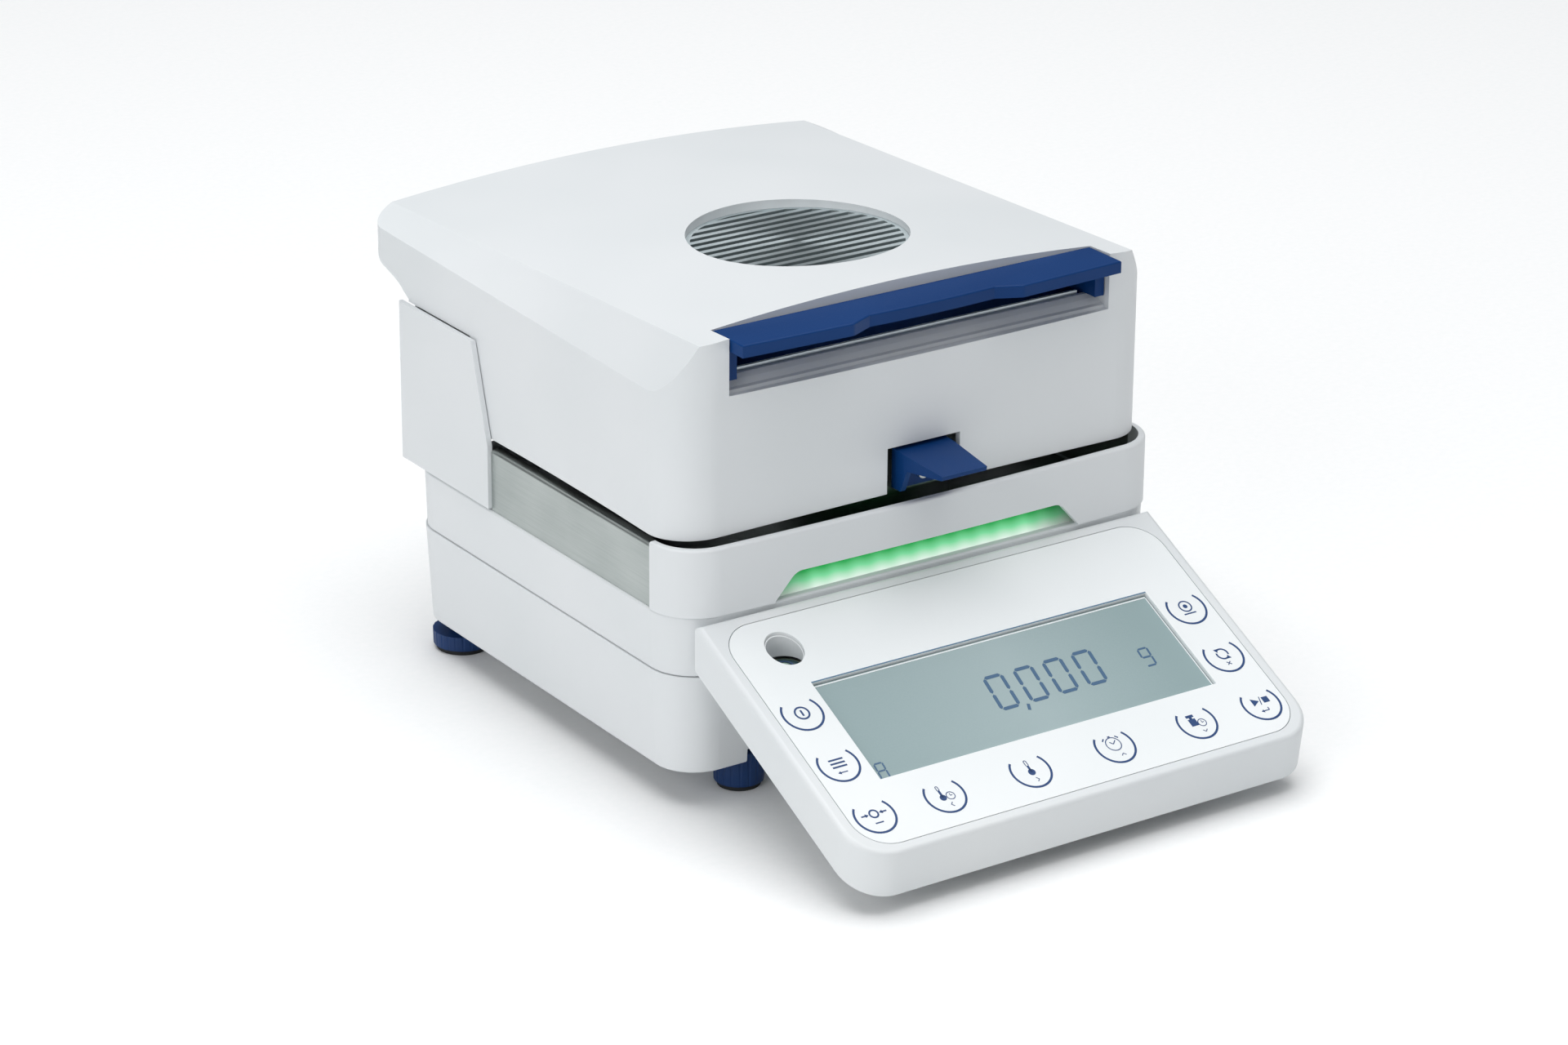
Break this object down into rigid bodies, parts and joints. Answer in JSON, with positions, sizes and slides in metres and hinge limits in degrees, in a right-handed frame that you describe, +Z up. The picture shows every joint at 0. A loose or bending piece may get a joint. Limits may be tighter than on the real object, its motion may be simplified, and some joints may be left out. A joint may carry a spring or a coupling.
{
  "type": "moisture analyzer",
  "caption": "Benchtop moisture analyzer: a drying balance with a hinged heater lid, sloping display terminal, pan handler, steel side plates and adjustable feet.",
  "frame": {"origin": "on the table, under the middle of the box around the closed instrument", "axes": "+Z up, the terminal faces -Y, +X to the right seen from the front"},
  "size_m": [0.2108, 0.3166, 0.1751],
  "materials": {
    "casing_white": "fine moulded texture",
    "lid_white": "fine moulded texture",
    "terminal_white": "fine moulded texture",
    "foil_white": "satin printed foil",
    "handle_blue": "satin moulded blue",
    "knob_blue": "satin moulded blue",
    "grip_blue": "satin moulded blue",
    "side_steel": "fine brushed",
    "strip_metal": "satin",
    "chamber_steel": "brushed",
    "screw_steel": "polished",
    "hinge_steel": "plain",
    "grille_grey": "satin grey",
    "light_diffuser": "glowing diffuser",
    "screen": "display behind a clear window",
    "board_green": "printed circuit board",
    "vial_clear": "clear",
    "lamp_quartz": "clear quartz",
    "window_glass": "clear heat resistant",
    "reflector_aluminium": "bright",
    "cell_aluminium": "machined",
    "pan_aluminium": "pressed foil",
    "socket_ceramic": "unglazed",
    "socket_black": "moulded black",
    "supply_metal": "folded sheet",
    "insert_brass": "turned",
    "pad_rubber": "plain",
    "key_plastic": "moulded"
  },
  "bodies": {
    "base": {"lower_casing": "casing_white", "upper_casing": "casing_white", "front_band": "casing_white", "light_bar": "light_diffuser", "side_plate_left": "side_steel", "side_plate_right": "side_steel", "rear_cover": "casing_white", "chamber_tray": "chamber_steel", "draught_ring": "chamber_steel", "terminal_housing": "terminal_white", "terminal_bottom": "terminal_white", "keypad_foil": "foil_white", "display_module": "screen", "key_board": "board_green", "level_vial": "vial_clear", "load_cell": "cell_aluminium", "main_board": "board_green", "power_supply": "supply_metal", "power_inlet": "socket_black", "serial_port": "socket_black", "hinge_plate_left": "hinge_steel", "hinge_plate_right": "hinge_steel", "hinge_pin_left": "hinge_steel", "hinge_pin_right": "hinge_steel", "casing_screws": "screw_steel", "foot_inserts": "insert_brass"},
    "lid": {"lid_shell": "lid_white", "vent_grille": "grille_grey", "handle_bar": "handle_blue", "recess_strip": "strip_metal", "lid_liner": "chamber_steel", "protective_glass": "window_glass", "lamp_reflector": "reflector_aluminium", "halogen_lamp": "lamp_quartz", "lamp_sockets": "socket_ceramic", "temperature_sensor": "chamber_steel"},
    "pan_handler": {"pan_handler": "chamber_steel", "handler_grip": "grip_blue", "grip_screws": "screw_steel"},
    "pan_support": {"pan_support": "cell_aluminium"},
    "sample_pan": {"sample_pan": "pan_aluminium"},
    "key_power": {"key_power": "key_plastic"},
    "key_menu": {"key_menu": "key_plastic"},
    "key_tare": {"key_tare": "key_plastic"},
    "key_program_1": {"key_program_1": "key_plastic"},
    "key_program_2": {"key_program_2": "key_plastic"},
    "key_program_3": {"key_program_3": "key_plastic"},
    "key_program_4": {"key_program_4": "key_plastic"},
    "key_start": {"key_start": "key_plastic"},
    "key_refresh": {"key_refresh": "key_plastic"},
    "key_print": {"key_print": "key_plastic"},
    "foot_pad_front_left": {"foot_pad_front_left": "pad_rubber"},
    "foot_knob_front_left": {"foot_knob_front_left": "knob_blue"},
    "foot_pad_front_right": {"foot_pad_front_right": "pad_rubber"},
    "foot_knob_front_right": {"foot_knob_front_right": "knob_blue"},
    "foot_pad_rear_left": {"foot_pad_rear_left": "pad_rubber"},
    "foot_knob_rear_left": {"foot_knob_rear_left": "knob_blue"},
    "foot_pad_rear_right": {"foot_pad_rear_right": "pad_rubber"},
    "foot_knob_rear_right": {"foot_knob_rear_right": "knob_blue"}
  },
  "joints": [
    {"name": "lid_hinge", "type": "hinge", "parent": "base", "child": "lid", "pos_m": [0, 0.122, 0.1295], "axis": [-1, 0, 0], "range_deg": [0, 70]},
    {"name": "handler_lift", "type": "slide", "parent": "base", "child": "pan_handler", "axis": [0, 0, 1], "range_m": [0, 0.001]},
    {"name": "support_lift", "type": "slide", "parent": "base", "child": "pan_support", "axis": [0, 0, 1], "range_m": [0, 0.004]},
    {"name": "pan_lift", "type": "slide", "parent": "pan_support", "child": "sample_pan", "axis": [0, 0, 1], "range_m": [0, 0.004]},
    {"name": "key_power_press", "type": "slide", "parent": "base", "child": "key_power", "axis": [0, 0.4337, -0.9011], "range_m": [0, 0.0003], "stiffness_N_per_m": 3000, "springref_m": -0.0003},
    {"name": "key_menu_press", "type": "slide", "parent": "base", "child": "key_menu", "axis": [0, 0.4337, -0.9011], "range_m": [0, 0.0003], "stiffness_N_per_m": 3000, "springref_m": -0.0003},
    {"name": "key_tare_press", "type": "slide", "parent": "base", "child": "key_tare", "axis": [0, 0.4337, -0.9011], "range_m": [0, 0.0003], "stiffness_N_per_m": 3000, "springref_m": -0.0003},
    {"name": "key_program_1_press", "type": "slide", "parent": "base", "child": "key_program_1", "axis": [0, 0.4337, -0.9011], "range_m": [0, 0.0003], "stiffness_N_per_m": 3000, "springref_m": -0.0003},
    {"name": "key_program_2_press", "type": "slide", "parent": "base", "child": "key_program_2", "axis": [0, 0.4337, -0.9011], "range_m": [0, 0.0003], "stiffness_N_per_m": 3000, "springref_m": -0.0003},
    {"name": "key_program_3_press", "type": "slide", "parent": "base", "child": "key_program_3", "axis": [0, 0.4337, -0.9011], "range_m": [0, 0.0003], "stiffness_N_per_m": 3000, "springref_m": -0.0003},
    {"name": "key_program_4_press", "type": "slide", "parent": "base", "child": "key_program_4", "axis": [0, 0.4337, -0.9011], "range_m": [0, 0.0003], "stiffness_N_per_m": 3000, "springref_m": -0.0003},
    {"name": "key_start_press", "type": "slide", "parent": "base", "child": "key_start", "axis": [0, 0.4337, -0.9011], "range_m": [0, 0.0003], "stiffness_N_per_m": 3000, "springref_m": -0.0003},
    {"name": "key_refresh_press", "type": "slide", "parent": "base", "child": "key_refresh", "axis": [0, 0.4337, -0.9011], "range_m": [0, 0.0003], "stiffness_N_per_m": 3000, "springref_m": -0.0003},
    {"name": "key_print_press", "type": "slide", "parent": "base", "child": "key_print", "axis": [0, 0.4337, -0.9011], "range_m": [0, 0.0003], "stiffness_N_per_m": 3000, "springref_m": -0.0003},
    {"name": "foot_front_left_height", "type": "slide", "parent": "base", "child": "foot_pad_front_left", "axis": [0, 0, -1], "range_m": [0, 0.006]},
    {"name": "foot_front_left_turn", "type": "hinge", "parent": "foot_pad_front_left", "child": "foot_knob_front_left", "pos_m": [-0.07, -0.0414, 0.01], "axis": [0, 0, 1], "range_deg": [0, 2160]},
    {"name": "foot_front_right_height", "type": "slide", "parent": "base", "child": "foot_pad_front_right", "axis": [0, 0, -1], "range_m": [0, 0.006]},
    {"name": "foot_front_right_turn", "type": "hinge", "parent": "foot_pad_front_right", "child": "foot_knob_front_right", "pos_m": [0.07, -0.0414, 0.01], "axis": [0, 0, 1], "range_deg": [0, 2160]},
    {"name": "foot_rear_left_height", "type": "slide", "parent": "base", "child": "foot_pad_rear_left", "axis": [0, 0, -1], "range_m": [0, 0.006]},
    {"name": "foot_rear_left_turn", "type": "hinge", "parent": "foot_pad_rear_left", "child": "foot_knob_rear_left", "pos_m": [-0.09, 0.116, 0.01], "axis": [0, 0, 1], "range_deg": [0, 2160]},
    {"name": "foot_rear_right_height", "type": "slide", "parent": "base", "child": "foot_pad_rear_right", "axis": [0, 0, -1], "range_m": [0, 0.006]},
    {"name": "foot_rear_right_turn", "type": "hinge", "parent": "foot_pad_rear_right", "child": "foot_knob_rear_right", "pos_m": [0.09, 0.116, 0.01], "axis": [0, 0, 1], "range_deg": [0, 2160]}
  ],
  "couplings": [
    {"joint": "foot_front_left_turn", "follows": "foot_front_left_height", "rad_per_m": 6283.2},
    {"joint": "foot_front_right_turn", "follows": "foot_front_right_height", "rad_per_m": 6283.2},
    {"joint": "foot_rear_left_turn", "follows": "foot_rear_left_height", "rad_per_m": 6283.2},
    {"joint": "foot_rear_right_turn", "follows": "foot_rear_right_height", "rad_per_m": 6283.2}
  ]
}
